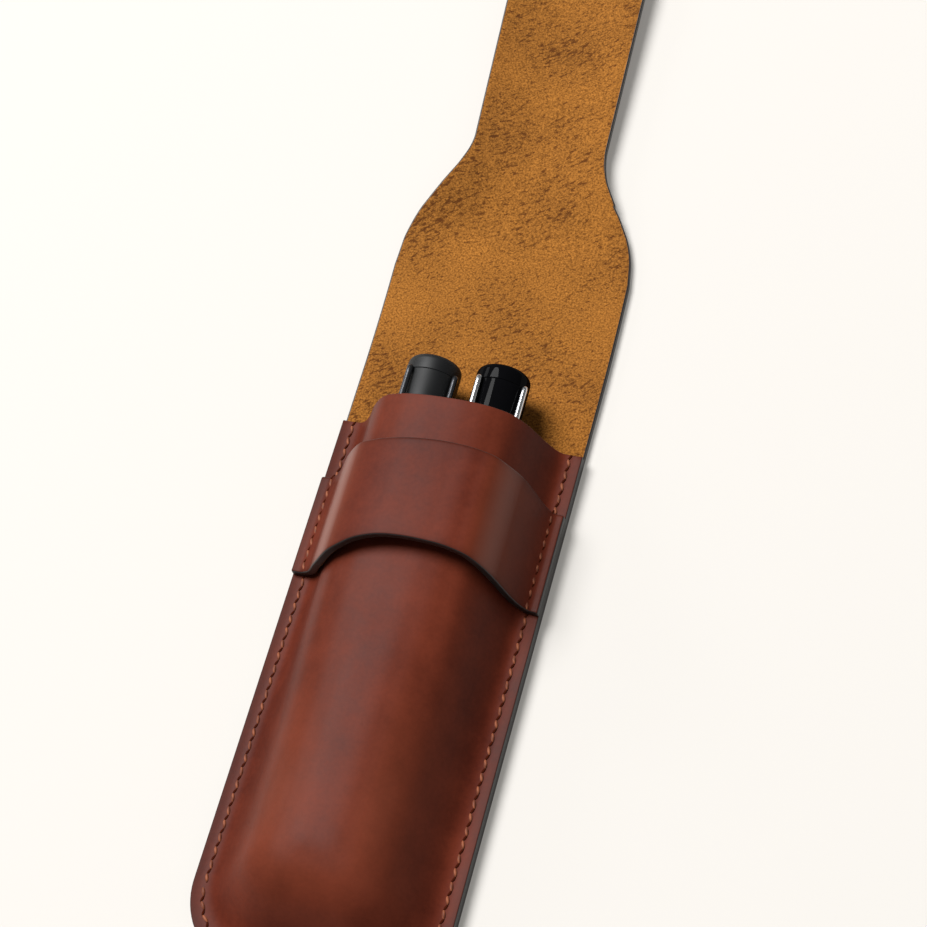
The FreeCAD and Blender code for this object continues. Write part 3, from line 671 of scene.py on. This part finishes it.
for side in ("left", "right"):
    cap = turned([(CAP_BORE, LIP_AT), (CAP_RADIUS, LIP_AT), (CAP_RADIUS, CROWN_AT),
                  (JOINT_RADIUS, CROWN_AT), (JOINT_RADIUS, JOINT_AT), (SOCKET, JOINT_AT),
                  (SOCKET, ROOF_AT), (CAP_BORE, ROOF_AT)], side, [(2, 0.18), (1, 0.4), (0, 0.3)])
    piece(f"{side}_cap_shell", cap, [RESIN[side]], f"{side}_cap", [f"{side}_cap"])
    crown = turned([(0, ROOF_AT), (SPIGOT, ROOF_AT), (SPIGOT, JOINT_AT), (JOINT_RADIUS, JOINT_AT),
                    (JOINT_RADIUS, CROWN_AT), (CAP_RADIUS, CROWN_AT), (CAP_RADIUS, PEN_LENGTH),
                    (3.7, PEN_LENGTH), (3.55, DISH_AT), (0, DISH_AT)],
                   side, [(7, 0.2), (6, 1.5), (5, 0.18)])
    piece(f"{side}_cap_crown", crown, [RESIN[side]], f"{side}_cap", [f"{side}_crown"])


# Clips: a length of spring wire bent to a long narrow U, its two ends let into the cap just below the
# crown. The left one is coated dark, the right one polished and plated.
CLIP_AT = 122.6
CLIP_HALF = 5.1
CLIP_STAND = 4.7
CLIP_RISE = 2.546
CLIP_RUN = 32.4
CLIP_STRAIGHT = 27.0
WIRE = 0.7


def drawn_wire(name, colour, metal, rough):
    """Drawn spring wire, with faint lines along it from the die under its finish."""
    made, tree, shader, at = material(name)
    lines = add(tree, "ShaderNodeMapping", {"Vector": at, "Scale": (per_mm(0.15), per_mm(9), per_mm(0.15))})
    drawn = add(tree, "ShaderNodeTexNoise",
                {"Vector": lines.outputs["Vector"], "Scale": 1.0, "Detail": 2.0})
    gloss = add(tree, "ShaderNodeMapRange",
                {"Value": drawn.outputs["Fac"], "To Min": rough * 0.94, "To Max": rough * 1.06})
    tree.links.new(gloss.outputs["Result"], shader.inputs["Roughness"])
    shader.inputs["Base Color"].default_value = linear(colour)
    shader.inputs["Metallic"].default_value = metal
    return made


WIRES = {"left": drawn_wire("black_coated_wire", "#3b3c3f", 0.85, 0.3),
         "right": drawn_wire("plated_wire", "#c9cbce", 1.0, 0.2)}


def clip_wire(side):
    """The bent wire as a mesh tube along a smooth line."""
    legs = [(0.0, -2.1), (0.0, -1.0), (0.05, -0.1), (0.9, 0.12), (2.4, 0.16)]
    legs += [(gone, gone / CLIP_RUN * CLIP_RISE) for gone in (9, 18, 25)]
    points = [(-CLIP_HALF, CLIP_AT - gone, CLIP_STAND + up) for gone, up in legs]
    for turn in range(0, 181, 20):
        gone = CLIP_STRAIGHT + CLIP_HALF * math.sin(math.radians(turn))
        points.append((-CLIP_HALF * math.cos(math.radians(turn)), CLIP_AT - gone,
                       CLIP_STAND + gone / CLIP_RUN * CLIP_RISE))
    points += [(CLIP_HALF, CLIP_AT - gone, CLIP_STAND + up) for gone, up in reversed(legs)]
    curve = bpy.data.curves.new("clip_line", "CURVE")
    curve.dimensions = "3D"
    spline = curve.splines.new("NURBS")
    spline.points.add(len(points) - 1)
    for place, point in zip(points, spline.points):
        point.co = (*[c * MM for c in place], 1)
    spline.order_u = 3
    spline.use_endpoint_u = True
    curve.resolution_u = 6
    curve.bevel_depth = WIRE * MM
    curve.bevel_resolution = 5
    curve.use_fill_caps = True
    line = bpy.data.objects.new("clip_line", curve)
    bpy.context.scene.collection.objects.link(line)
    bpy.context.view_layer.update()
    mesh = bpy.data.meshes.new_from_object(line.evaluated_get(bpy.context.evaluated_depsgraph_get()))
    bm = bmesh.new()
    bm.from_mesh(mesh)
    bpy.data.objects.remove(line)
    bpy.data.curves.remove(curve)
    bpy.data.meshes.remove(mesh)
    bmesh.ops.remove_doubles(bm, verts=bm.verts[:], dist=1e-6)
    bmesh.ops.recalc_face_normals(bm, faces=bm.faces[:])
    bmesh.ops.transform(bm, matrix=pen_place(side), verts=bm.verts[:])
    return bm


for side in ("left", "right"):
    piece(f"{side}_cap_clip", clip_wire(side), [WIRES[side]], f"{side}_cap",
          [f"{side}_clip"])


# Barrels, grips, feeds, nibs and cartridges: turned and moulded pieces that the caps and the pocket
# hide at rest. They keep their solids and get their finishes.
def ground_steel():
    """Polished nib steel with fine grinding lines towards the point."""
    made, tree, shader, at = material("ground_steel")
    lines = add(tree, "ShaderNodeMapping", {"Vector": at, "Scale": (per_mm(0.12), per_mm(8), per_mm(0.12))})
    ground = add(tree, "ShaderNodeTexNoise",
                 {"Vector": lines.outputs["Vector"], "Scale": 1.0, "Detail": 3.0})
    gloss = add(tree, "ShaderNodeMapRange", {"Value": ground.outputs["Fac"], "To Min": 0.14, "To Max": 0.3})
    tree.links.new(gloss.outputs["Result"], shader.inputs["Roughness"])
    shader.inputs["Base Color"].default_value = linear("#c9cacc")
    shader.inputs["Metallic"].default_value = 1.0
    return made


FEED_RESIN = moulded_resin("feed_resin", "#141415", "#1c1c1e", 0.4, 0.5, 0.0)
INK_PLASTIC = moulded_resin("cartridge_plastic", "#1b2a5e", "#24367a", 0.25, 0.35, 0.0)
NIB_STEEL = ground_steel()
for side in ("left", "right"):
    finishes = {"barrel": RESIN[side], "grip": RESIN[side], "feed": FEED_RESIN,
                "ink_cartridge": INK_PLASTIC, "nib": NIB_STEEL}
    for name, finish in finishes.items():
        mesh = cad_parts[f"{side}_{name}"].data
        mesh.materials.clear()
        mesh.materials.append(finish)


# Table: a plain pale sheet of card that the sleeve lies on. It isn't part of the sleeve, and only
# takes its shadow.
def pale_sheet():
    """Matt white card, bright enough to stay pale, that still takes a soft shadow."""
    made, _, shader, _ = material("pale_card")
    shader.inputs["Base Color"].default_value = linear("#aca9a5")
    shader.inputs["Roughness"].default_value = 1.0
    shader.inputs["Specular IOR Level"].default_value = 0.0
    shader.inputs["Emission Color"].default_value = linear("#fdfaf3")
    shader.inputs["Emission Strength"].default_value = 0.2
    return made


bm = bmesh.new()
bmesh.ops.create_grid(bm, x_segments=1, y_segments=1, size=4, matrix=Matrix.Translation((0, 0, -0.0001)))
table = piece("table", bm, [pale_sheet()], None)


# Light: a broad window high on the left gives the soft shadow to the right, a small lamp low on the left
# the gleam along the band, and the room and a weak lamp on the right fill the shade.
world = bpy.data.worlds.new("studio")
world.use_nodes = True
room = world.node_tree.nodes["Background"]
room.inputs["Color"].default_value = linear("#fffdfa")
room.inputs["Strength"].default_value = 0.2
bpy.context.scene.world = world
bpy.context.scene.view_settings.view_transform = "Standard"


def soft_light(name, place, aim, size, power):
    """A round soft lamp at a place, turned to a point, with its size in metres and its power in watts."""
    lamp = bpy.data.lights.new(name, "AREA")
    lamp.shape = "DISK"
    lamp.size = size
    lamp.energy = power
    made = bpy.data.objects.new(name, lamp)
    made.location = place
    made.rotation_euler = (Vector(aim) - Vector(place)).to_track_quat("-Z", "Y").to_euler()
    bpy.context.scene.collection.objects.link(made)


soft_light("window", (-1.75, 0.95, 3.58), (0, -0.02, 0), 2.5, 352)
soft_light("left_strip", (-1.6, 0.8, 0.75), (0, -0.02, 0), 0.5, 4)
soft_light("fill", (0.9, -0.5, 0.9), (0, 0, 0), 0.8, 0.6)


# Camera: a long lens above the sleeve's right side, turned a little so that the sleeve runs aslant
# through the picture.
AZIMUTH, ELEVATION, ROLL = (math.radians(a) for a in (34.27, 60.035, -21.585))
DISTANCE = 0.512018
TARGET = Vector((0.00108, -0.004422, 0))
back = Vector((math.sin(AZIMUTH) * math.cos(ELEVATION), -math.cos(AZIMUTH) * math.cos(ELEVATION),
               math.sin(ELEVATION)))
level = Vector((math.cos(AZIMUTH), math.sin(AZIMUTH), 0))
upright = back.cross(level)
across = level * math.cos(ROLL) + upright * math.sin(ROLL)
upward = upright * math.cos(ROLL) - level * math.sin(ROLL)
lens = bpy.data.cameras.new("camera")
lens.lens = 89.54
lens.sensor_width = 36
lens.clip_start = 0.01
camera = bpy.data.objects.new("camera", lens)
place = TARGET + back * DISTANCE
camera.matrix_world = Matrix([[across[i], upward[i], back[i], place[i]] for i in range(3)] + [[0, 0, 0, 1]])
bpy.context.scene.collection.objects.link(camera)
bpy.context.scene.camera = camera
